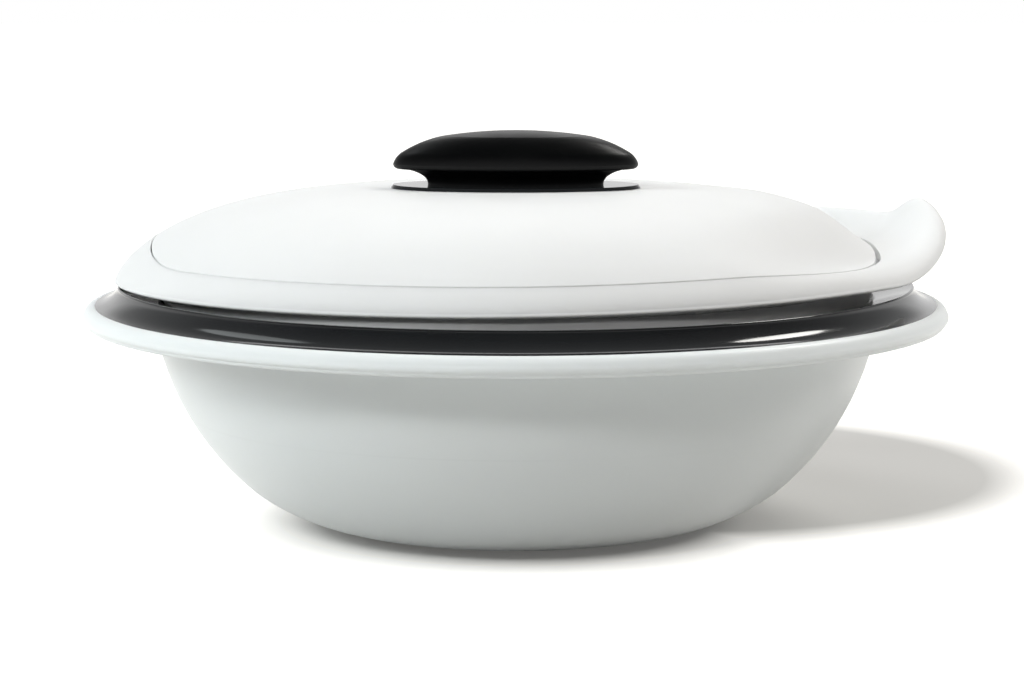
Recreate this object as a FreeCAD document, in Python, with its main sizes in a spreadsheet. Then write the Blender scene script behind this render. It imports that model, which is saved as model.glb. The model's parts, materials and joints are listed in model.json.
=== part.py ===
import FreeCAD, Part

import math
import os

import Sketcher
from FreeCAD import Placement, Rotation, Vector

# Insulated chapati casserole: a double-walled bowl with a steel liner, and a leaf-shaped lift-off lid.
# Millimetres. Z is up, X runs along the leaf to its raised tail, and the origin is the middle of the base.

DRIVING = {
    "rim_radius": 140.0,
    "seam_radius": 136.1,
    "seam_height": 72.5,
    "bowl_wall": 2.4,
    "bowl_neck_radius": 117.2,
    "bowl_neck_height": 66.0,
    "foot_radius": 48.0,
    "foot_inner_radius": 40.0,
    "foot_recess": 1.2,
    "flange_thickness": 3.2,
    "lip_drop": 6.0,
    "plug_radius": 9.0,
    "plug_stem_radius": 5.0,
    "crest_radius": 128.8,
    "crest_rise": 6.2,
    "throat_radius": 115.9,
    "throat_rise": 2.7,
    "collar_bottom_radius": 110.9,
    "collar_drop": 8.3,
    "collar_wall": 2.0,
    "liner_mouth_radius": 108.6,
    "liner_wall": 1.0,
    "liner_floor": 12.0,
    "foam_gap": 0.2,
    "foam_top": 60.0,
    "pan_radius": 115.2,
    "pan_top_rise": 7.7,
    "pan_bottom_radius": 110.1,
    "pan_drop": 7.0,
    "pan_wall": 2.0,
    "pan_dome": 4.0,
    "leaf_reach": 129.5,
    "leaf_front": 118.0,
    "leaf_back": 122.0,
    "leaf_rim_rise": 9.6,
    "leaf_rim_slope": 1.6,
    "leaf_edge": 1.5,
    "leaf_apex": 36.5,
    "leaf_roof_fullness": 4.0,
    "leaf_roof_shoulder": 0.71,
    "leaf_belly_radius": 116.0,
    "leaf_mouth_radius": 112.5,
    "tail_reach": 10.0,
    "tail_rise": 19.0,
    "panel_share": 0.9,
    "panel_side_growth": 0.06,
    "panel_end_fall": 6.0,
    "panel_thickness": 2.2,
    "panel_bore": 8.0,
    "panel_seat_gap": 0.3,
    "knob_gap": 0.15,
    "ledge_width_share": 0.07,
    "ledge_thickness": 2.0,
    "plate_length": 81.0,
    "plate_width": 43.0,
    "plate_thickness": 0.9,
    "waist_length": 57.0,
    "waist_width": 17.0,
    "grip_length": 79.6,
    "grip_width": 29.4,
    "grip_underside": 42.6,
    "grip_top": 55.1,
    "screw_spacing": 36.0,
    "screw_shank_radius": 1.9,
    "screw_head_radius": 3.6,
    "screw_head_height": 2.4,
    "screw_reach": 7.6,
    "washer_radius": 5.0,
    "washer_thickness": 0.8,
}

# The bowl's outside from the foot to the neck, as joints and middles of three arcs
BOWL_CURVE = ((48.0, 0.0), (69.0, 3.4), (87.0, 13.0), (99.7, 26.3), (109.4, 41.9), (114.1, 53.7), (117.2, 66.0))
# The liner's inside from its floor to its mouth, in the same way
LINER_CURVE = ((52.0, 12.0), (72.0, 16.4), (86.0, 27.0), (97.5, 41.0), (103.6, 52.0), (106.6, 58.0), (108.6, 63.2))

document = FreeCAD.newDocument("casserole")
sheet = document.addObject("Spreadsheet::Sheet", "dims")
for row, (alias, value) in enumerate(DRIVING.items(), start=1):
    sheet.set("A%d" % row, alias)
    sheet.set("B%d" % row, str(value))
    sheet.setAlias("B%d" % row, alias)
document.recompute()


class Size:
    """A length with its value and the sheet formula that gives it."""

    def __init__(self, value, formula):
        self.value = value
        self.formula = formula

    def __add__(self, other):
        other = size_of(other)
        return Size(self.value + other.value, "%s + %s" % (self.formula, other.formula))

    def __sub__(self, other):
        other = size_of(other)
        return Size(self.value - other.value, "%s - (%s)" % (self.formula, other.formula))

    def __mul__(self, factor):
        return Size(self.value * factor, "(%s) * %r" % (self.formula, factor))


def size_of(number):
    return number if isinstance(number, Size) else Size(float(number), repr(float(number)))


def cell(alias):
    return Size(float(sheet.get(alias)), "dims." + alias)


def value_of(number):
    return number.value if isinstance(number, Size) else float(number)


def origin_plane(body, role):
    return next(feature for feature in body.Origin.OriginFeatures if feature.Role == role)


def new_body(name):
    body = document.addObject("PartDesign::Body", name)
    body.Label = name
    return body


def new_sketch(body, name, role="XZ_Plane", height=None):
    """A sketch on one of the body's own origin planes, raised by a height where one is given."""
    sketch = body.newObject("Sketcher::SketchObject", name)
    sketch.AttachmentSupport = [(origin_plane(body, role), "")]
    sketch.MapMode = "FlatFace"
    if height is not None:
        height = size_of(height)
        sketch.AttachmentOffset = Placement(Vector(0, 0, height.value), Rotation())
        sketch.setExpression("AttachmentOffset.Base.z", height.formula)
    return sketch


def bind(sketch, index, size):
    sketch.setExpression("Constraints[%d]" % index, size.formula)


def hold(sketch, rules):
    """Adds constraints, each with the size that drives it or None, and binds them to the sheet."""
    first = sketch.ConstraintCount
    sketch.addConstraint([constraint for constraint, size in rules])
    for index, (constraint, size) in enumerate(rules, start=first):
        if size is not None:
            bind(sketch, index, size)


def pinned(geometry, end, point):
    """The rules that keep one end of a piece of geometry at a point."""
    rules = []
    for kind, axis, size in (("DistanceX", -2, size_of(point[0])), ("DistanceY", -1, size_of(point[1]))):
        if abs(size.value) < 1e-9:
            rules.append((Sketcher.Constraint("PointOnObject", geometry, end, axis), None))
        else:
            rules.append((Sketcher.Constraint(kind, geometry, end, size.value), size))
    return rules


def flat(point):
    return Vector(value_of(point[0]), value_of(point[1]), 0)


def draw_outline(sketch, start, steps):
    """Draws a closed outline. A step is an end point, or a middle and an end point of an arc."""
    ends = [start]
    for step in steps:
        here, there = flat(ends[-1]), flat(step[-1])
        if len(step) == 2:
            middle = flat(step[0])
            clockwise = (middle - here).cross(there - middle).z < 0
            sketch.addGeometry(Part.Arc(there, middle, here) if clockwise else Part.Arc(here, middle, there))
        else:
            sketch.addGeometry(Part.LineSegment(here, there))
        ends.append(step[-1])
    drawn = sketch.Geometry
    rules = []
    for index, piece in enumerate(drawn):
        after = (index + 1) % len(drawn)
        corner = flat(ends[index + 1])
        here, there = end_number(piece, corner), end_number(drawn[after], corner)
        rules.append((Sketcher.Constraint("Coincident", index, here, after, there), None))
        rules += pinned(index, here, ends[index + 1])
        if len(steps[index]) == 2:
            rules.append((Sketcher.Constraint("Radius", index, piece.Radius), None))
    hold(sketch, rules)


def end_number(geometry, point):
    """Which end of a line or arc lies at a point: 1 for its start, 2 for its end."""
    nearer_start = geometry.StartPoint.distanceToPoint(point) < geometry.EndPoint.distanceToPoint(point)
    return 1 if nearer_start else 2


def revolve(name, start, steps):
    """A body turned about Z from an outline of radius and height."""
    body = new_body(name)
    sketch = new_sketch(body, name + "_outline")
    draw_outline(sketch, start, steps)
    turned = body.newObject("PartDesign::Revolution", name + "_turned")
    turned.Profile = (sketch, [""])
    turned.ReferenceAxis = (sketch, ["V_Axis"])
    turned.Angle = 360
    document.recompute()
    return body


def inset(curve, depth, start_slope=0.0, end_slope=80.0):
    """The same curve moved inwards by a wall's thickness, square to itself."""
    moved = []
    for index, (radius, height) in enumerate(curve):
        if index == 0:
            slope = math.radians(start_slope)
        elif index == len(curve) - 1:
            slope = math.radians(end_slope)
        else:
            before, after = curve[index - 1], curve[index + 1]
            slope = math.atan2(after[1] - before[1], after[0] - before[0])
        moved.append((radius - depth * math.sin(slope), height + depth * math.cos(slope)))
    return tuple(moved)


def arcs(curve):
    """The steps along a curve whose points are arc middles and arc ends by turns."""
    return [(curve[index], curve[index + 1]) for index in range(1, len(curve), 2)]


def cut_at(curve, height):
    """Middle and end of a curve's last arc where that arc stops at a lower height."""
    start, middle, end = [flat(point) for point in curve[-3:]]
    arc = Part.Arc(start, middle, end).toShape().Curve

    def at(level):
        return (arc.Center.x + math.sqrt(arc.Radius ** 2 - (level - arc.Center.y) ** 2), level)

    return at((start.y + height) / 2), at(height)


def dished(edge, rise, radius):
    """Point at a radius on a spherical cap that passes through an edge point and rises in the middle."""
    edge_radius, edge_height = value_of(edge[0]), value_of(edge[1])
    sphere = (edge_radius ** 2 + rise ** 2) / (2 * rise)
    return (radius, edge_height + rise - sphere + math.sqrt(sphere ** 2 - radius ** 2))


def ellipse_sketch(body, name, length, width, height):
    """An ellipse on a level plane, with its two half axes bound to the sheet."""
    sketch = new_sketch(body, name, "XY_Plane", height)
    half_length, half_width = size_of(length) * 0.5, size_of(width) * 0.5
    ellipse = Part.Ellipse(Vector(half_length.value, 0, 0), Vector(0, half_width.value, 0), Vector(0, 0, 0))
    sketch.addGeometry(ellipse)
    sketch.exposeInternalGeometry(0)
    hold(sketch, [
        (Sketcher.Constraint("Coincident", 0, 3, -1, 1), None),
        (Sketcher.Constraint("PointOnObject", 1, 1, -1), None),
        (Sketcher.Constraint("Distance", 1, half_length.value * 2), half_length * 2),
        (Sketcher.Constraint("Distance", 2, half_width.value * 2), half_width * 2),
    ])
    return sketch


def circle_sketch(body, name, radius, height, centres=((0.0, 0.0),)):
    sketch = new_sketch(body, name, "XY_Plane", height)
    for x, y in centres:
        index = sketch.addGeometry(Part.Circle(Vector(value_of(x), y, 0), Vector(0, 0, 1), value_of(radius)))
        hold(sketch, [(Sketcher.Constraint("Radius", index, value_of(radius)), size_of(radius))]
             + pinned(index, 3, (x, y)))
    return sketch


def pad(body, sketch, length, name, downwards=False):
    feature = body.newObject("PartDesign::Pad", name)
    feature.Profile = (sketch, [""])
    feature.Length = value_of(length)
    feature.setExpression("Length", size_of(length).formula)
    feature.Reversed = downwards
    document.recompute()
    return feature


def pocket(body, sketch, depth, name, upwards=False):
    """A cut from a level sketch, downwards unless told otherwise, that has to remove something."""
    before = body.Shape.Volume
    feature = body.newObject("PartDesign::Pocket", name)
    feature.Profile = (sketch, [""])
    feature.Length = value_of(depth)
    feature.setExpression("Length", size_of(depth).formula)
    feature.Reversed = upwards
    document.recompute()
    if body.Shape.Volume > before - 1e-3:
        raise ValueError(name + " cuts nothing")
    return feature


def loft(body, sections, name):
    feature = body.newObject("PartDesign::AdditiveLoft", name)
    feature.Profile = (sections[0], [""])
    feature.Sections = [(section, [""]) for section in sections[1:]]
    feature.Ruled = False
    document.recompute()
    return feature


# Heights that several pieces share
seam = cell("seam_height")
crest = seam + cell("crest_rise")
throat = seam + cell("throat_rise")
collar_bottom = seam - cell("collar_drop")
pan_top = seam + cell("pan_top_rise")
apex = seam + cell("leaf_apex")
half_spacing = cell("screw_spacing") * 0.5


def outer_bowl():
    """White outer wall with its foot, wide flange and rolled lip."""
    wall = cell("bowl_wall")
    inner = inset(BOWL_CURVE, wall.value)
    flange_under = seam - cell("flange_thickness")
    lip_bottom = seam - cell("lip_drop")
    rim = cell("rim_radius")
    recess = cell("foot_recess")
    start = (0.0, recess)
    steps = [
        ((cell("foot_inner_radius"), recess),),
        ((cell("foot_inner_radius") + 1.2, 0.0),),
        ((cell("foot_radius"), 0.0),),
    ]
    steps += arcs(BOWL_CURVE)[:-1]
    steps += [
        (BOWL_CURVE[-2], (cell("bowl_neck_radius"), cell("bowl_neck_height"))),
        ((118.4, 68.5), (cell("bowl_neck_radius") + 4.3, flange_under)),
        ((rim - 5.6, flange_under),),
        ((135.2, 67.5), (rim - 3.0, lip_bottom + 0.2)),
        ((138.2, 66.3), (rim - 0.9, lip_bottom + 0.9)),
        ((139.95, 68.6), (rim - 0.4, seam - 2.6)),
        ((138.5, 71.7), (cell("seam_radius"), seam)),
        ((cell("bowl_neck_radius") + 3.4, seam),),
        ((116.9, 69.8), inner[-1]),
    ]
    back = tuple(reversed(inner))
    steps += arcs(back)
    steps += [((0.0, inner[0][1]),), (start,)]
    body = revolve("outer_bowl", start, steps)
    hole = circle_sketch(body, "foam_hole", cell("plug_stem_radius") + 0.05, inner[0][1])
    pocket(body, hole, 4.0, "foam_hole_cut")
    return body


def foam_plug():
    """Push-in plug that closes the hole through which the foam is poured."""
    radius, stem = cell("plug_radius"), cell("plug_stem_radius")
    recess = cell("foot_recess")
    bowl_floor = inset(BOWL_CURVE, cell("bowl_wall").value)[0][1]
    start = (0.0, 0.3)
    steps = [
        ((radius - 0.6, 0.3),),
        ((radius, recess - 0.3),),
        ((radius, recess),),
        ((stem, recess),),
        ((stem, bowl_floor - 0.2),),
        ((stem - 0.8, bowl_floor + 1.4),),
        ((0.0, bowl_floor + 1.4),),
        (start,),
    ]
    return revolve("foam_plug", start, steps)


def bowl_insulation():
    """Rigid foam that fills the space between the outer wall and the steel liner."""
    gap = cell("foam_gap").value
    outside = inset(BOWL_CURVE, cell("bowl_wall").value + gap)
    inside = inset(LINER_CURVE, -(cell("liner_wall").value + gap))
    top = cell("foam_top").value
    outer_middle, outer_top = cut_at(outside, top)
    inner_middle, inner_top = cut_at(inside, top)
    start = (0.0, outside[0][1] + 1.6)
    plug_clear = cell("plug_stem_radius") + 0.6
    steps = [
        ((plug_clear, outside[0][1] + 1.6),),
        ((plug_clear, outside[0][1]),),
        (outside[0],),
    ]
    steps += arcs(outside)[:-1]
    steps += [
        (outer_middle, outer_top),
        (inner_top,),
        (inner_middle, inside[-3]),
    ]
    steps += arcs(tuple(reversed(inside[:-2])))
    steps += [((0.0, inside[0][1]),), (start,)]
    return revolve("bowl_insulation", start, steps)


def steel_liner():
    """Deep-drawn food bowl with a turned-out edge that the collar clamps."""
    wall = cell("liner_wall")
    outside = inset(LINER_CURVE, -wall.value)
    inside = tuple(reversed(LINER_CURVE))
    edge = cell("collar_bottom_radius") + 1.9
    start = (0.0, cell("liner_floor") - wall)
    steps = [(outside[0],)]
    steps += arcs(outside)[:-1]
    steps += [
        (outside[-2], (cell("liner_mouth_radius") + 0.9, collar_bottom - wall - 0.2)),
        ((edge, collar_bottom - wall),),
        ((edge, collar_bottom),),
        ((cell("liner_mouth_radius") + 0.3, collar_bottom),),
        ((108.68, 64.1), inside[0]),
    ]
    steps += arcs(inside)
    steps += [((0.0, cell("liner_floor")),), (start,)]
    return revolve("steel_liner", start, steps)


def collar_ring():
    """Dark glossy ring: trumpet-shaped outside, sloping ledge and tapered throat for the lid."""
    wall = cell("collar_wall")
    lip = cell("seam_radius")
    crest_radius = cell("crest_radius")
    throat_radius = cell("throat_radius")
    bottom = cell("collar_bottom_radius")
    start = (lip, seam)
    steps = [
        ((131.4, 74.6), (crest_radius, crest - 0.7)),
        ((128.5, 78.6), (crest_radius - 1.0, crest)),
        ((throat_radius + 1.2, throat + 0.3),),
        ((116.2, 75.2), (throat_radius - 0.5, throat - 0.8)),
        ((bottom, collar_bottom),),
        ((bottom + wall, collar_bottom),),
        ((throat_radius + 0.9, throat - 2.6),),
        ((throat_radius + 2.4, throat - 1.9),),
        ((crest_radius - 2.9, crest - 2.9),),
        ((crest_radius + 1.2, seam),),
        (start,),
    ]
    return revolve("collar_ring", start, steps)


def under_pan():
    """White pan under the leaf that plugs the collar's throat."""
    radius, wall = cell("pan_radius"), cell("pan_wall")
    low = cell("pan_bottom_radius")
    bottom = seam - cell("pan_drop")
    dome = cell("pan_dome")
    halfway = low.value / 2
    under_edge = (low - 4.5, bottom - 1.6)
    inner_edge = (low - wall - 2.6, bottom - 1.6 + wall)
    start = (0.0, under_edge[1] + dome)
    steps = [
        (dished(under_edge, dome.value, halfway), under_edge),
        ((108.6, 64.4), (low, bottom)),
        ((radius - 0.3, throat - 0.1),),
        ((radius, pan_top),),
        ((radius - wall, pan_top),),
        ((radius - wall - 0.3, throat),),
        ((low - wall, bottom + 0.4),),
        ((107.2, 66.2), inner_edge),
        (dished(inner_edge, dome.value, halfway), (0.0, inner_edge[1] + dome)),
        (start,),
    ]
    return revolve("under_pan", start, steps)


def lid_insulation():
    """Foam disc between the pan and the domed panel."""
    low = cell("pan_bottom_radius")
    wall = cell("pan_wall")
    dome = cell("pan_dome")
    floor_edge = (low - wall - 3.4, seam - cell("pan_drop") - 1.6 + wall + cell("foam_gap"))
    start = (0.0, floor_edge[1] + dome)
    steps = [
        (dished(floor_edge, dome.value, low.value / 2), floor_edge),
        ((108.2, 72.2),),
        ((107.6, 76.0),),
        ((94.0, 91.5),),
        ((84.0, 97.3), (70.0, 100.4)),
        ((36.0, apex - 6.4),),
        ((0.0, apex - 6.4),),
        (start,),
    ]
    return revolve("lid_insulation", start, steps)


def smooth_step(value, low, high):
    share = min(max((value - low) / (high - low), 0.0), 1.0)
    return share * share * (3 - 2 * share)


class Leaf:
    """The lid's sculpted form, worked out from the sheet: a leaf outline, a full dome and a raised tail."""

    stations = 90

    def __init__(self):
        for alias in DRIVING:
            setattr(self, alias, float(sheet.get(alias)))
        self.angles = [2 * math.pi * (index + 0.5) / self.stations + math.pi for index in range(self.stations)]

    def plan_radius(self, angle):
        """Radius of the leaf without its tail: blunter at the back, more pointed in front."""
        across = (1 + math.sin(angle)) / 2
        power = 1.9 + 0.2 * smooth_step(across, 0.3, 0.7)
        side = self.leaf_back if math.sin(angle) > 0 else self.leaf_front
        term = abs(math.cos(angle) / self.leaf_reach) ** power + abs(math.sin(angle) / side) ** power
        return term ** (-1 / power)

    def tail(self, angle):
        """How much of the tail's reach and of its rise the rim has at an angle."""
        degrees = (math.degrees(angle) + 180) % 360 - 180
        reach = smooth_step(degrees, -42, 4) * (1 - smooth_step(degrees, 10, 44))
        rise = smooth_step(degrees, -24, 14) * (1 - 0.33 * smooth_step(degrees, 13, 21))
        rise *= 1 - smooth_step(degrees, 30, 100)
        return reach, rise

    def rim_height(self, angle):
        return self.seam_height + self.leaf_rim_rise + self.leaf_rim_slope * math.cos(angle)

    def seat_share(self, angle):
        """Share of the leaf that the panel fills, less at its two blunt ends than along its sides."""
        return self.panel_share + self.panel_side_growth * smooth_step(abs(math.sin(angle)), 0.0, 0.5)

    def end_fall(self, angle, share):
        """How far the dome dips around the panel's end in front of the tail."""
        near_tail = smooth_step(math.cos(angle), 0.55, 0.95)
        return self.panel_end_fall * near_tail * smooth_step(share, 0.72, 0.9) * (1 - smooth_step(share, 0.9, 1.0))

    def dome(self, angle, share, lower=0.0):
        """Point of the dome at a share of the way from its apex to its rim, lowered where asked."""
        radius = self.plan_radius(angle) * share
        rim = self.rim_height(angle)
        top = self.seam_height + self.leaf_apex
        roof = (1 - share ** self.leaf_roof_fullness) ** self.leaf_roof_shoulder
        height = rim + (top - rim) * roof - self.end_fall(angle, share) - lower
        return Vector(radius * math.cos(angle), radius * math.sin(angle), height)

    def skin(self, angle, along):
        """Point of the upper skin, part of the way from the panel to the edge, with the tail growing out of it."""
        seat = self.seat_share(angle)
        point = self.dome(angle, seat + (1 - seat) * along)
        reach, rise = self.tail(angle)
        out = self.tail_reach * reach * along
        up = self.tail_rise * rise * (0.12 + 0.88 * along) * smooth_step(along, -0.6, 0.9)
        return point + Vector(out * math.cos(angle), out * math.sin(angle), up)

    def edge(self, angle, inwards, down):
        """Point at the leaf's edge, moved in towards the middle and down."""
        point = self.skin(angle, 1.0)
        return point + Vector(-inwards * math.cos(angle), -inwards * math.sin(angle), -down)

    def ring(self, rule):
        return [rule(angle) for angle in self.angles]


def closed_wire(points):
    curve = Part.BSplineCurve()
    curve.interpolate(points, True)
    return Part.Wire([curve.toShape()])


def skin_through(rings, ruled=False):
    return Part.makeLoft([closed_wire(ring) for ring in rings], False, ruled)


def solid_from(skins):
    """Sews ring-shaped skins into one closed solid."""
    faces = [face for skin in skins for face in skin.Faces]
    shell = Part.makeShell(faces)
    shell.sewShape()
    if shell.ShapeType != "Shell":
        shell = shell.Shells[0]
    solid = Part.makeSolid(shell)
    if solid.Volume < 0:
        solid.reverse()
    return solid


def fixed_shape(name, shape):
    feature = document.addObject("Part::Feature", name)
    feature.Label = name
    feature.Shape = shape
    feature.Placement = Placement()
    return feature


def leaf_cover(leaf):
    """Leaf-shaped frame of the lid: rebate for the panel, thin edge and swept-up tail."""
    seat_drop = leaf.panel_thickness + leaf.panel_seat_gap
    inner_share = 1 - leaf.ledge_width_share
    mouth_height = leaf.seam_height + 8.1
    belly_height = leaf.seam_height + 8.0

    def circle(radius, height):
        return leaf.ring(lambda a: Vector(radius * math.cos(a), radius * math.sin(a), height))

    upper = [leaf.ring(lambda a, s=along: leaf.skin(a, s)) for along in (0.0, 0.25, 0.5, 0.7, 0.85, 0.96, 1.0)]
    edge_middle = leaf.ring(lambda a: leaf.edge(a, -0.35, leaf.leaf_edge * 0.5))
    edge_bottom = leaf.ring(lambda a: leaf.edge(a, 0.5, leaf.leaf_edge))
    belly = circle(leaf.leaf_belly_radius, belly_height)
    mouth = circle(leaf.leaf_mouth_radius, mouth_height)

    def seat(share, lower):
        return leaf.ring(lambda a: leaf.dome(a, leaf.seat_share(a) * share, lower))

    ledge_low = seat(inner_share, seat_drop + leaf.ledge_thickness)
    ledge_high = seat(inner_share, seat_drop)
    ledge_middles = [seat(1 - leaf.ledge_width_share * part, seat_drop) for part in (0.75, 0.5, 0.25)]
    ledge_corner = seat(1.0, seat_drop)
    skins = [
        skin_through(upper),
        skin_through([upper[-1], edge_middle, edge_bottom]),
        skin_through([edge_bottom, belly], True),
        skin_through([belly, mouth], True),
        skin_through([mouth, ledge_low], True),
        skin_through([ledge_low, ledge_high], True),
        skin_through([ledge_high] + ledge_middles + [ledge_corner]),
        skin_through([ledge_corner, upper[0]], True),
    ]
    return fixed_shape("leaf_cover", solid_from(skins))


def dome_panel(leaf):
    """Domed panel that fills the leaf, with a wider gap at the tail end and holes for the knob."""

    def outline_share(angle):
        degrees = (math.degrees(angle) + 180) % 360 - 180
        wide = smooth_step(degrees, -30, -12) * (1 - smooth_step(degrees, 18, 30))
        gap = 0.4 + 1.3 * wide
        return leaf.seat_share(angle) - gap / leaf.plan_radius(angle)

    def bore(angle):
        return leaf.panel_bore / leaf.plan_radius(angle)

    def level(part, lower):
        return leaf.ring(lambda a: leaf.dome(a, bore(a) + (outline_share(a) - bore(a)) * part, lower))

    parts_out = (0.0, 0.1, 0.22, 0.36, 0.5, 0.63, 0.75, 0.85, 0.92, 0.97, 1.0)
    top = [level(part, 0.0) for part in parts_out]
    bottom = [level(part, leaf.panel_thickness) for part in parts_out]
    skins = [
        skin_through(top),
        skin_through([top[-1], bottom[-1]], True),
        skin_through(list(reversed(bottom))),
        skin_through([bottom[0], top[0]], True),
    ]
    panel = solid_from(skins)
    for side in (-1, 1):
        foot = Vector(side * leaf.screw_spacing / 2, 0, leaf.seam_height + leaf.leaf_apex - 6)
        panel = panel.cut(Part.makeCylinder(leaf.screw_shank_radius + 0.3, 12, foot))
    return fixed_shape("dome_panel", panel.Solids[0])


def knob_plate():
    """Thin lens-shaped plate between the dome and the knob."""
    body = new_body("knob_plate")
    thickness = cell("plate_thickness")
    bottom = apex + cell("knob_gap")
    sections = [
        ellipse_sketch(body, "plate_foot", cell("plate_length"), cell("plate_width"), bottom),
        ellipse_sketch(body, "plate_top", cell("plate_length") - 1.4, cell("plate_width") - 1.4, bottom + thickness),
    ]
    loft(body, sections, "plate_form")
    top = bottom + thickness
    pocket(body, circle_sketch(body, "plate_bore", cell("panel_bore") - 0.1, top), 3.0, "plate_bore_cut")
    holes = circle_sketch(body, "plate_screw_holes", cell("screw_shank_radius") + 0.3, top,
                          ((half_spacing * -1, 0.0), (half_spacing, 0.0)))
    pocket(body, holes, 3.0, "plate_screw_cut")
    return body


def knob_stem():
    """Waist of the knob, flared out under the grip, with a spigot that finds its place in the panel."""
    body = new_body("knob_stem")
    foot = apex + cell("knob_gap") + cell("plate_thickness")
    head = seam + cell("grip_underside")
    length, width = cell("waist_length"), cell("waist_width")
    flare = ((0.0, 0.0, 0.0), (0.32, 0.9, 0.7), (0.62, 4.2, 2.6), (0.85, 9.4, 5.2), (1.0, 17.6, 8.8))
    rise = head - foot
    sections = []
    for index, (part, longer, wider) in enumerate(flare):
        level = foot + rise * part
        sections.append(ellipse_sketch(body, "waist_%d" % index, length + longer, width + wider, level))
    loft(body, sections, "waist_form")
    spigot = circle_sketch(body, "spigot_circle", cell("panel_bore") - 0.4, foot)
    pad(body, spigot, cell("plate_thickness") + cell("panel_thickness") + 1.0, "spigot", True)
    holes = circle_sketch(body, "stem_screw_holes", cell("screw_shank_radius") + 0.03, foot,
                          ((half_spacing * -1, 0.0), (half_spacing, 0.0)))
    pocket(body, holes, 5.0, "stem_screw_cut", True)
    return body


def knob_grip():
    """Boat-shaped grip: a crown turned about Z, then narrowed across to the grip's width."""
    underside = seam + cell("grip_underside")
    half_length = cell("grip_length") * 0.5
    shoulder = (24.0, seam + cell("grip_top") - 1.9)
    top = shoulder[1] + 1.9
    start = (0.0, underside)
    steps = [
        ((half_length - 1.8, underside),),
        ((39.3, underside.value + 0.5), (half_length, underside + 1.6)),
        ((38.75, underside.value + 3.65), (half_length - 3.3, underside + 5.6)),
        ((31.5, underside.value + 8.2), shoulder),
        (dished(shoulder, 1.9, 12.0), (0.0, top)),
        (start,),
    ]
    crown = revolve("grip_round", start, steps)
    narrowing = FreeCAD.Matrix()
    narrowing.scale(1.0, cell("grip_width").value / cell("grip_length").value, 1.0)
    return fixed_shape("knob_grip", crown.Shape.transformGeometry(narrowing).Solids[0])


def turned_pair(name, start, steps):
    """Two like turned solids, one at each screw place, joined in one node as a group."""
    single = revolve(name + "_left_one", start, steps)
    single.Placement = Placement(Vector(-half_spacing.value, 0, 0), Rotation())
    single.setExpression("Placement.Base.x", "-dims.screw_spacing / 2")
    other = revolve(name + "_right_one", start, steps)
    other.Placement = Placement(Vector(half_spacing.value, 0, 0), Rotation())
    other.setExpression("Placement.Base.x", "dims.screw_spacing / 2")
    pair = document.addObject("Part::Compound", name)
    pair.Label = name
    pair.Links = [single, other]
    document.recompute()
    return pair


panel_under = apex - cell("panel_thickness")
head_top = panel_under - cell("washer_thickness") - cell("knob_gap") - 0.04


def knob_screws():
    """Two pan-head screws that draw the knob down on the panel from inside the lid."""
    head, shank = cell("screw_head_radius"), cell("screw_shank_radius")
    head_height = cell("screw_head_height")
    tip = head_top + cell("screw_reach")
    start = (0.0, head_top - head_height)
    steps = [
        ((head - 1.0, head_top - head_height),),
        ((head, head_top - head_height + 1.0),),
        ((head, head_top),),
        ((shank, head_top),),
        ((shank, tip - 1.2),),
        ((shank - 1.2, tip),),
        ((0.0, tip),),
        (start,),
    ]
    return turned_pair("knob_screws", start, steps)


def knob_washers():
    """Flat washers under the screw heads."""
    inner = cell("screw_shank_radius") + 0.3
    radius, thickness = cell("washer_radius"), cell("washer_thickness")
    bottom = head_top + 0.02
    start = (inner, bottom)
    steps = [
        ((radius, bottom),),
        ((radius, bottom + thickness),),
        ((inner, bottom + thickness),),
        (start,),
    ]
    return turned_pair("knob_washers", start, steps)


leaf = Leaf()
pieces = [
    outer_bowl(),
    foam_plug(),
    bowl_insulation(),
    steel_liner(),
    collar_ring(),
    under_pan(),
    lid_insulation(),
    leaf_cover(leaf),
    dome_panel(leaf),
    knob_plate(),
    knob_stem(),
    knob_grip(),
    knob_screws(),
    knob_washers(),
]
document.recompute()

for item in document.Objects:
    if "Invalid" in item.State or "Error" in item.State:
        raise ValueError("%s did not compute: %s" % (item.Name, item.State))
for piece in pieces:
    if piece.Shape.isNull() or not piece.Shape.isValid():
        raise ValueError("%s has no valid shape" % piece.Label)

os.makedirs("parts", exist_ok=True)
for piece in pieces:
    path = "parts/%s.step" % piece.Label
    piece.Shape.exportStep(path)
    written = Part.Shape()
    written.read(path)
    if not written.isValid():
        raise ValueError("%s is not valid once written" % piece.Label)
    box = piece.Shape.BoundBox
    print("%-16s %2d solid  %9.0f mm3  z %6.1f to %6.1f" % (
        piece.Label, len(piece.Shape.Solids), piece.Shape.Volume, box.ZMin, box.ZMax))
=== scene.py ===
import json
import math

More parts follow.
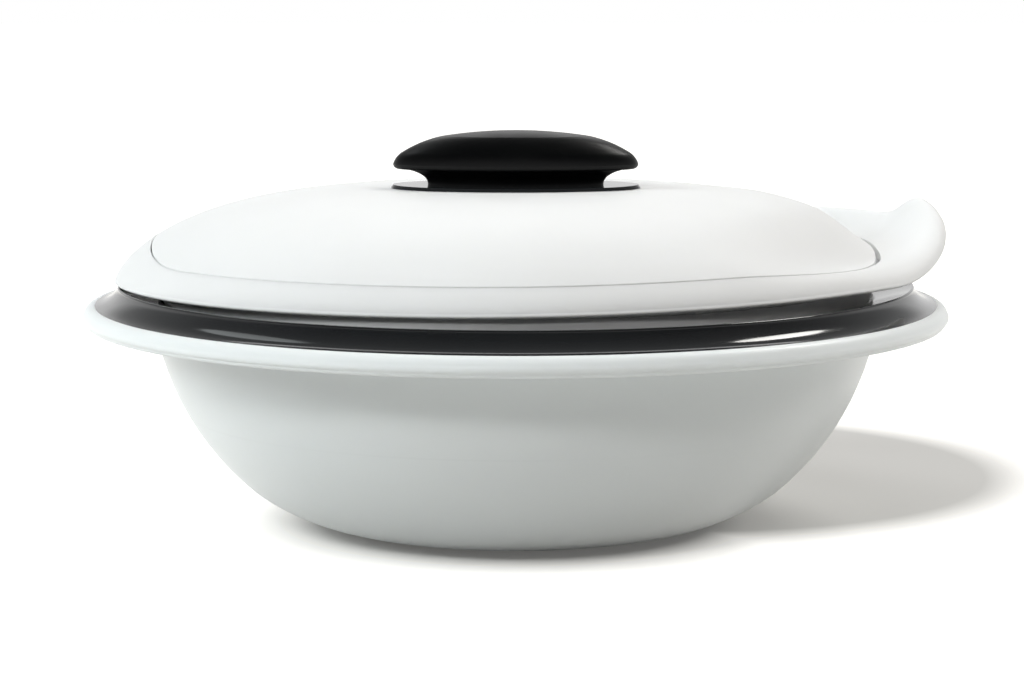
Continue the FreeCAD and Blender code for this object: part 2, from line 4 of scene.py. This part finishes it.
import bmesh
import bpy
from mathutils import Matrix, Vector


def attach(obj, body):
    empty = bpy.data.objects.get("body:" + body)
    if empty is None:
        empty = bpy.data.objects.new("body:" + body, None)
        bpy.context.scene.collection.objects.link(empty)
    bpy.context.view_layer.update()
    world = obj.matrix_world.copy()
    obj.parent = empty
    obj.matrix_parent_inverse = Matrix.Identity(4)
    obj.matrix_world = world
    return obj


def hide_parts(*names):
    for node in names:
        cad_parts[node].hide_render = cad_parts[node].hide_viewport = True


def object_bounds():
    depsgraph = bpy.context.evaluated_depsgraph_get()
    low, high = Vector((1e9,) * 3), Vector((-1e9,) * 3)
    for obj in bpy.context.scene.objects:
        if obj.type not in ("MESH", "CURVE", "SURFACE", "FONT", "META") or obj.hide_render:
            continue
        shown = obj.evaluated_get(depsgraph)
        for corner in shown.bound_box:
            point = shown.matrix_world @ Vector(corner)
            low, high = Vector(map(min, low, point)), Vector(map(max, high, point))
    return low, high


# Insulated casserole with a leaf-shaped lid. Metres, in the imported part's own frame.
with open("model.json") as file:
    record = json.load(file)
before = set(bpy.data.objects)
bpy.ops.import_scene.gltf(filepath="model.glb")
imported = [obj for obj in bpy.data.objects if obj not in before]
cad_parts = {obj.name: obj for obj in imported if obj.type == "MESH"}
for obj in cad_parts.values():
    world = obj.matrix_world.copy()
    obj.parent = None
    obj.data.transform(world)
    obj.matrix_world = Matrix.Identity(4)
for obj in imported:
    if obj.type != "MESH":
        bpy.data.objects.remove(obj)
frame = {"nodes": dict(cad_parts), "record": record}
cad_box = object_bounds()

# The photograph's frame and the camera fitted to it
PHOTO_WIDTH = 1024
FOCAL_LENGTH_PX = 3000.0
SENSOR_WIDTH_MM = 36.0
CAMERA_PLACE = (0.0, -0.972, 0.1877)
CAMERA_PITCH_DOWN = math.radians(7.57)
CAMERA_YAW = math.radians(0.071)

# Faint line that the mould leaves round the bowl's outside
PARTING_LINE_HEIGHT = 0.0375
PARTING_LINE_HALF_WIDTH = 0.0003
PARTING_LINE_SHADE = 0.9

# White plastic lets a little light through, which softens thin seams and edges
PLASTIC_GLOW = 0.5
PLASTIC_GLOW_DEPTH = 0.0015
PLASTIC_GLOW_SPREAD = (1.0, 1.0, 0.95)

# Base colours
WHITE_BOWL = (0.83, 0.86, 0.86)
WHITE_LID = (0.82, 0.823, 0.82)
LINER_STEEL = (0.62, 0.62, 0.60)
SCREW_STEEL = (0.60, 0.61, 0.62)

# How much darker than its base colour a material's darker places are
PLASTIC_DARKER = 0.975
STEEL_DARKER = 0.86

# Unevenness of white plastic's gloss, either side of its roughness
PLASTIC_GLOSS_SWING = 0.03

# The part of a noise texture's range that its values mostly lie in
NOISE_LOW = 0.3
NOISE_HIGH = 0.7

# Round pieces drawn in finer steps than their solids' meshes have
TURNED = ("outer_bowl", "collar_ring", "under_pan")
TURNED_STEPS = 540
SHARP_ANGLE = math.radians(35)
ON_PLANE = 1e-7
SECTION_DIGITS = 7

# Cycles' correction of shadow edges on faceted curves
SHADOW_OFFSET = 0.3
SHADOW_GEOMETRY_OFFSET = 0.4

# Fades of the world's light over its direction: from, to, result at from, result at to
WORLD_LEVEL = 0.63
WORLD_FRONT_SHARE = 0.147
HEIGHT_FADE = (0.05, 0.6, 1.0, 0.35)
DEPTH_FADE = (-0.4, 0.5, WORLD_LEVEL * WORLD_FRONT_SHARE, WORLD_LEVEL)
BACKDROP_FADE = (0.18, 0.40, 1.0, 0.0)

FLOOR_REACH = 6.0
FLOOR_DROP = 0.0002
FLOOR_COLOUR = (0.58, 0.572, 0.556)
FLOOR_GLOW = (1.0, 0.99, 0.96)
FLOOR_ROUGHNESS = 0.9

# Painted shadow on the floor: patches round the foot and beside the bowl where the floor's glow is dimmed,
# so the lamps' own shadow shows there and the floor is white elsewhere: middle, inner and outer radius
PAINTED_SHADOW_PATCHES = (((0.0, 0.0, 0.0), 0.065, 0.100), ((0.055, 0.090, 0.0), 0.112, 0.145))
# Glow left in the middle of each painted shadow patch
PAINTED_SHADOW_GLOW = 0.10

# Disc lamps: name, place, diameter, watts, colour, and if gloss shows them
NEUTRAL = (1.0, 1.0, 1.0)
COOL = (0.93, 0.99, 1.0)
WARM = (1.0, 0.985, 0.95)
LAMPS = (
    ("key", (-0.60, -1.70, 1.15), 0.30, 10.3, NEUTRAL, False),
    ("soft_left", (-0.735, 0.615, 1.155), 0.45, 0.8, COOL, True),
    ("soft_right", (0.735, 0.615, 1.155), 0.38, 4.6, WARM, True),
    ("left", (-1.45, -0.45, 0.85), 0.90, 17.8, COOL, False),
    ("right", (1.35, -0.30, 1.10), 0.90, 10.2, WARM, False),
    ("top", (-0.10, -0.10, 1.60), 1.1, 4.0, NEUTRAL, False),
    ("back", (0.0, 1.45, 1.15), 1.0, 3.9, NEUTRAL, True),
)


class Finish:
    """A procedural material under construction. Coordinates are the object's own, in metres."""

    def __init__(self, name, **constants):
        self.material = bpy.data.materials.new(name)
        self.material.use_nodes = True
        self.tree = self.material.node_tree
        self.shader = self.tree.nodes["Principled BSDF"]
        for socket, value in constants.items():
            self.shader.inputs[socket.replace("_", " ")].default_value = value
        self.place = self.node("ShaderNodeTexCoord").outputs["Object"]

    def node(self, kind, **inputs):
        made = self.tree.nodes.new(kind)
        for name, value in inputs.items():
            self.feed(value, made.inputs[name])
        return made

    def feed(self, value, socket):
        if isinstance(value, bpy.types.NodeSocket):
            self.tree.links.new(value, socket)
        else:
            socket.default_value = value

    def maths(self, operation, first, second=0.0):
        made = self.node("ShaderNodeMath")
        made.operation = operation
        self.feed(first, made.inputs[0])
        self.feed(second, made.inputs[1])
        return made.outputs[0]

    def noise(self, scale, detail=3.0, place=None):
        made = self.node("ShaderNodeTexNoise", Vector=place or self.place, Scale=scale, Detail=detail)
        return made.outputs["Fac"]

    def spread(self, noise, low=0.0, high=1.0):
        """Maps noise's usual range onto low to high."""
        return mapped(self.tree, noise, NOISE_LOW, NOISE_HIGH, low, high)

    def colour_between(self, share, first, second):
        made = self.node("ShaderNodeMix")
        made.data_type = "RGBA"
        self.feed(share, made.inputs["Factor"])
        made.inputs[6].default_value = (*first, 1.0)
        made.inputs[7].default_value = (*second, 1.0)
        return made.outputs[2]

    def set(self, socket, value):
        self.feed(value, self.shader.inputs[socket])

    def bump(self, height, strength, depth):
        made = self.node("ShaderNodeBump", Height=height, Strength=strength, Distance=depth)
        self.set("Normal", made.outputs["Normal"])

    def radius_and_height(self):
        parts = self.node("ShaderNodeSeparateXYZ", Vector=self.place)
        squares = [self.maths("POWER", parts.outputs[axis], 2.0) for axis in "XY"]
        return self.maths("SQRT", self.maths("ADD", *squares)), parts.outputs["Z"]


def combined(tree, operation, first, second):
    made = tree.nodes.new("ShaderNodeMath")
    made.operation = operation
    tree.links.new(first, made.inputs[0])
    tree.links.new(second, made.inputs[1])
    return made.outputs[0]


def mapped(tree, value, from_low, from_high, to_low, to_high):
    made = tree.nodes.new("ShaderNodeMapRange")
    tree.links.new(value, made.inputs["Value"])
    names = ("From Min", "From Max", "To Min", "To Max")
    for name, number in zip(names, (from_low, from_high, to_low, to_high)):
        made.inputs[name].default_value = number
    return made.outputs["Result"]


def tinted(colour, factor):
    return tuple(channel * factor for channel in colour)


def moulded(name, colour, roughness, specular, parting_line=False):
    """Injection-moulded plastic: faint cloudiness, uneven gloss and a fine orange-peel surface."""
    finish = Finish(name, IOR=1.47, Specular_IOR_Level=specular, Subsurface_Weight=PLASTIC_GLOW,
                    Subsurface_Radius=PLASTIC_GLOW_SPREAD, Subsurface_Scale=PLASTIC_GLOW_DEPTH)
    cloud = finish.spread(finish.noise(scale=14.0))
    if parting_line:
        height = finish.radius_and_height()[1]
        off_line = finish.maths("ABSOLUTE", finish.maths("SUBTRACT", height, PARTING_LINE_HEIGHT))
        on_line = finish.maths("LESS_THAN", off_line, PARTING_LINE_HALF_WIDTH)
        cloud = finish.maths("ADD", cloud, finish.maths("MULTIPLY", on_line, PARTING_LINE_SHADE))
    finish.set("Base Color", finish.colour_between(cloud, colour, tinted(colour, PLASTIC_DARKER)))
    gloss = finish.noise(scale=60.0)
    finish.set("Roughness",
               finish.spread(gloss, roughness - PLASTIC_GLOSS_SWING, roughness + PLASTIC_GLOSS_SWING))
    finish.bump(finish.noise(scale=1400.0, detail=2.0), strength=0.12, depth=0.00004)
    return finish.material


def dark_gloss():
    """Black plastic with a high shine."""
    finish = Finish("dark_gloss", IOR=1.49)
    cloud = finish.spread(finish.noise(scale=20.0))
    finish.set("Base Color", finish.colour_between(
        cloud, first=(0.011, 0.012, 0.013), second=(0.015, 0.016, 0.017)))
    finish.set("Roughness", finish.spread(finish.noise(scale=90.0), low=0.07, high=0.13))
    finish.bump(finish.noise(scale=220.0, detail=2.0), strength=0.05, depth=0.00005)
    return finish.material


def dark_soft():
    """Black soft-touch plastic with a fine grain."""
    finish = Finish("dark_soft", IOR=1.46, Specular_IOR_Level=0.24)
    cloud = finish.spread(finish.noise(scale=30.0))
    finish.set("Base Color", finish.colour_between(
        cloud, first=(0.0012, 0.0013, 0.0015), second=(0.0024, 0.0025, 0.0027)))
    finish.set("Roughness", finish.spread(finish.noise(scale=120.0), low=0.34, high=0.42))
    finish.bump(finish.noise(scale=2600.0, detail=2.0), strength=0.25, depth=0.00006)
    return finish.material


def spun_steel(name, colour, ring_scale):
    """Steel with fine rings around the upright axis, as spinning and polishing leave it."""
    finish = Finish(name, Metallic=1.0)
    radius, height = finish.radius_and_height()
    section_place = finish.node("ShaderNodeCombineXYZ", X=radius, Y=height).outputs["Vector"]
    rings = finish.noise(ring_scale, detail=4.0, place=section_place)
    finish.set("Base Color", finish.colour_between(
        finish.spread(rings), colour, tinted(colour, STEEL_DARKER)))
    finish.set("Roughness", finish.spread(rings, low=0.22, high=0.36))
    finish.bump(rings, strength=0.15, depth=0.00005)
    return finish.material


def poured_foam():
    """Open-celled yellowish insulation."""
    finish = Finish("foam", Roughness=0.9)
    cells = finish.node("ShaderNodeTexVoronoi", Vector=finish.place, Scale=700.0).outputs["Distance"]
    finish.set("Base Color", finish.colour_between(
        cells, first=(0.74, 0.64, 0.40), second=(0.60, 0.50, 0.29)))
    finish.bump(cells, strength=0.5, depth=0.0004)
    return finish.material


def section_of(mesh):
    """A turned part's section, as radius and height where its mesh lies on y = 0, and if it closes."""
    corners = {
        vertex.index: (round(vertex.co.x, SECTION_DIGITS), round(vertex.co.z, SECTION_DIGITS))
        for vertex in mesh.vertices
        if abs(vertex.co.y) < ON_PLANE and vertex.co.x > -ON_PLANE}
    neighbours = {}
    for edge in mesh.edges:
        here, there = (corners.get(index) for index in edge.vertices)
        if here and there and here != there:
            neighbours.setdefault(here, set()).add(there)
            neighbours.setdefault(there, set()).add(here)
    loose_ends = [corner for corner, others in neighbours.items() if len(others) == 1]
    section = [min(loose_ends or neighbours)]
    ahead = sorted(neighbours[section[0]])
    while ahead:
        section.append(ahead[0])
        ahead = sorted(corner for corner in neighbours[section[-1]] if corner not in section)
    return section, not loose_ends


def turned_mesh(name, section, closed):
    """A section turned once round the upright axis. A point on the axis stays one point."""
    points = []
    rings = []
    for radius, height in section:
        first = len(points)
        steps = 1 if radius < ON_PLANE else TURNED_STEPS
        for step in range(steps):
            angle = 2 * math.pi * step / TURNED_STEPS
            points.append((radius * math.cos(angle), radius * math.sin(angle), height))
        rings.append([first + step % steps for step in range(TURNED_STEPS)])
    faces = []
    following_rings = rings[1:] + rings[:1] if closed else rings[1:]
    for ring, following in zip(rings, following_rings):
        for step in range(TURNED_STEPS):
            after = (step + 1) % TURNED_STEPS
            corners = (ring[step], ring[after], following[after], following[step])
            faces.append(list(dict.fromkeys(corners)))
    mesh = bpy.data.meshes.new(name)
    mesh.from_pydata(points, [], faces)
    shell = bmesh.new()
    shell.from_mesh(mesh)
    bmesh.ops.recalc_face_normals(shell, faces=shell.faces)
    shell.to_mesh(mesh)
    shell.free()
    mesh.shade_smooth()
    mesh.set_sharp_from_angle(angle=SHARP_ANGLE)
    return mesh


def turned_again(node):
    """A piece that stands for a turned node: its own section, turned in finer steps."""
    name = node + "_turned"
    piece = bpy.data.objects.new(name, turned_mesh(name, *section_of(frame["nodes"][node].data)))
    bpy.context.collection.objects.link(piece)
    record = frame["record"]
    bodies = record["behaviour"]["bodies"].items()
    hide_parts(node)
    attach(piece, next(body for body, nodes in bodies if node in nodes))
    return piece


def dress(node, material):
    """Gives a node, or the piece that stands for it, its material."""
    shown = turned_again(node) if node in TURNED else frame["nodes"][node]
    if not shown.material_slots:
        shown.data.materials.append(material)
    for material_slot in shown.material_slots:
        material_slot.material = material
    shown.cycles.shadow_terminator_offset = SHADOW_OFFSET
    shown.cycles.shadow_terminator_geometry_offset = SHADOW_GEOMETRY_OFFSET


def ray_kinds(tree):
    """1 for rays from the camera, otherwise 0, and the same for rays from a mirror or glass."""
    path = tree.nodes.new("ShaderNodeLightPath")
    mirrored = combined(tree, "MAXIMUM", path.outputs["Is Glossy Ray"], path.outputs["Is Transmission Ray"])
    return path.outputs["Is Camera Ray"], mirrored


def set_world():
    """White backdrop to the camera, gloss and glass. It lights the object from behind and low down."""
    world = bpy.data.worlds.new("studio")
    bpy.context.scene.world = world
    world.use_nodes = True
    tree = world.node_tree
    background = tree.nodes["Background"]
    background.inputs["Color"].default_value = (1.0, 1.0, 1.0, 1.0)
    direction = tree.nodes.new("ShaderNodeSeparateXYZ")
    tree.links.new(tree.nodes.new("ShaderNodeTexCoord").outputs["Generated"], direction.inputs[0])
    low_share = mapped(tree, direction.outputs["Z"], *HEIGHT_FADE)
    back_share = mapped(tree, direction.outputs["Y"], *DEPTH_FADE)
    lit = combined(tree, "MULTIPLY", low_share, back_share)
    camera, mirrored = ray_kinds(tree)
    backdrop = mapped(tree, direction.outputs["Z"], *BACKDROP_FADE)
    seen = combined(tree, "MAXIMUM", camera, combined(tree, "MULTIPLY", mirrored, backdrop))
    tree.links.new(combined(tree, "MAXIMUM", lit, seen), background.inputs["Strength"])


def add_lamp(name, place, diameter, watts, colour, in_gloss):
    """A disc lamp that points at the frame's origin."""
    light = bpy.data.lights.new(name, "AREA")
    light.color = colour
    light.shape = "DISK"
    light.size = diameter
    light.energy = watts
    lamp = bpy.data.objects.new(name, light)
    lamp.location = place
    aim = -lamp.location.normalized()
    lamp.rotation_euler = aim.to_track_quat("-Z", "Y").to_euler()
    lamp.visible_glossy = in_gloss
    bpy.context.collection.objects.link(lamp)


def add_floor():
    """Pale plain floor that glows white except in fixed patches of painted shadow, where its glow is dimmed
    and the lamps' shadow shows.
    """
    corners = [(x * FLOOR_REACH, y * FLOOR_REACH, 0.0) for x, y in ((-1, -1), (1, -1), (1, 1), (-1, 1))]
    mesh = bpy.data.meshes.new("floor")
    mesh.from_pydata(corners, [], [(0, 1, 2, 3)])
    floor = bpy.data.objects.new("floor", mesh)
    floor.location.z = cad_box[0][2] - FLOOR_DROP
    bpy.context.collection.objects.link(floor)
    finish = Finish("floor_white", Base_Color=(*FLOOR_COLOUR, 1.0), Roughness=FLOOR_ROUGHNESS)
    tree = finish.tree
    painted_shadow_fades = []
    # The glow is dimmed in fixed patches: a painted shadow round the foot and beside the bowl
    for middle, inner, outer in PAINTED_SHADOW_PATCHES:
        offset = finish.node("ShaderNodeVectorMath")
        offset.operation = "DISTANCE"
        finish.feed(finish.place, offset.inputs[0])
        offset.inputs[1].default_value = middle
        painted_shadow_fades.append(mapped(tree, offset.outputs["Value"], inner, outer, PAINTED_SHADOW_GLOW, 1.0))
    seen = combined(tree, "MAXIMUM", *ray_kinds(tree))
    finish.set("Emission Strength", combined(tree, "MULTIPLY", seen, combined(tree, "MINIMUM", *painted_shadow_fades)))
    finish.shader.inputs["Emission Color"].default_value = (*FLOOR_GLOW, 1.0)
    mesh.materials.append(finish.material)


def add_camera():
    lens = bpy.data.cameras.new("camera")
    lens.sensor_fit = "HORIZONTAL"
    lens.sensor_width = SENSOR_WIDTH_MM
    lens.lens = FOCAL_LENGTH_PX * SENSOR_WIDTH_MM / PHOTO_WIDTH
    camera = bpy.data.objects.new("camera", lens)
    camera.location = CAMERA_PLACE
    camera.rotation_euler = (math.pi / 2 - CAMERA_PITCH_DOWN, 0.0, CAMERA_YAW)
    bpy.context.collection.objects.link(camera)
    bpy.context.scene.camera = camera


FINISHES = {
    ("outer_bowl", "foam_plug"): moulded(
        "white_bowl", WHITE_BOWL, roughness=0.36, specular=0.5, parting_line=True),
    ("leaf_cover", "dome_panel", "under_pan"): moulded(
        "white_lid", WHITE_LID, roughness=0.50, specular=0.28),
    ("collar_ring", "knob_plate"): dark_gloss(),
    ("knob_grip", "knob_stem"): dark_soft(),
    ("steel_liner",): spun_steel("liner_steel", LINER_STEEL, ring_scale=900.0),
    ("knob_screws", "knob_washers"): spun_steel("screw_steel", SCREW_STEEL, ring_scale=2400.0),
    ("bowl_insulation", "lid_insulation"): poured_foam(),
}
for nodes, material in FINISHES.items():
    for node in nodes:
        dress(node, material)

set_world()
for lamp_values in LAMPS:
    add_lamp(*lamp_values)
add_floor()
add_camera()
bpy.context.scene.view_settings.view_transform = "Standard"
